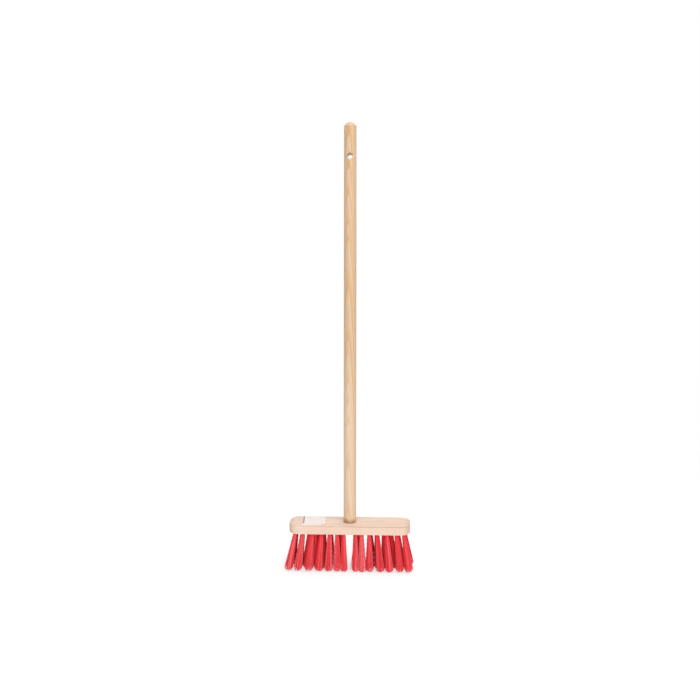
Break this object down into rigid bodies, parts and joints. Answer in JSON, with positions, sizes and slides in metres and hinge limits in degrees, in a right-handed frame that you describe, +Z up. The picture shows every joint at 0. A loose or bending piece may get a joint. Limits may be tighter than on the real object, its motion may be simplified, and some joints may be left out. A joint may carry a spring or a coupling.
{
  "type": "stick broom",
  "caption": "Small wooden stick broom: a flat block with rounded corners carries fanned tufts of stiff red bristle, and a round stick with a domed top and a hanging hole leans back from it.",
  "frame": {"origin": "middle of the broom's outline on the floor, under the tips of the bristles", "axes": "+Z up, -Y to the front, X along the block. The stick leans back towards +Y by 8 degrees"},
  "size_m": [0.249, 0.1508, 0.8774],
  "materials": {
    "beech_block": "bare sanded beech, matte",
    "pine_stick": "bare sanded pine, satin",
    "zinc_steel": "bright zinc",
    "red_bristle": "crimped plastic bristle, satin"
  },
  "bodies": {
    "root": {"head_block": "beech_block", "handle": "pine_stick", "handle_screw": "zinc_steel", "tuft_anchors": "zinc_steel", "front_tuft_01": "red_bristle", "front_tuft_02": "red_bristle", "front_tuft_03": "red_bristle", "front_tuft_04": "red_bristle", "front_tuft_05": "red_bristle", "front_tuft_06": "red_bristle", "front_tuft_07": "red_bristle", "front_tuft_08": "red_bristle", "front_tuft_09": "red_bristle", "front_tuft_10": "red_bristle", "front_tuft_11": "red_bristle", "front_tuft_12": "red_bristle", "front_tuft_13": "red_bristle", "front_tuft_14": "red_bristle", "middle_tuft_01": "red_bristle", "middle_tuft_02": "red_bristle", "middle_tuft_03": "red_bristle", "middle_tuft_04": "red_bristle", "middle_tuft_05": "red_bristle", "middle_tuft_06": "red_bristle", "middle_tuft_07": "red_bristle", "middle_tuft_08": "red_bristle", "middle_tuft_09": "red_bristle", "middle_tuft_10": "red_bristle", "middle_tuft_11": "red_bristle", "middle_tuft_12": "red_bristle", "rear_tuft_01": "red_bristle", "rear_tuft_02": "red_bristle", "rear_tuft_03": "red_bristle", "rear_tuft_04": "red_bristle", "rear_tuft_05": "red_bristle", "rear_tuft_06": "red_bristle", "rear_tuft_07": "red_bristle", "rear_tuft_08": "red_bristle", "rear_tuft_09": "red_bristle", "rear_tuft_10": "red_bristle", "rear_tuft_11": "red_bristle", "rear_tuft_12": "red_bristle", "rear_tuft_13": "red_bristle", "rear_tuft_14": "red_bristle"}
  },
  "joints": []
}
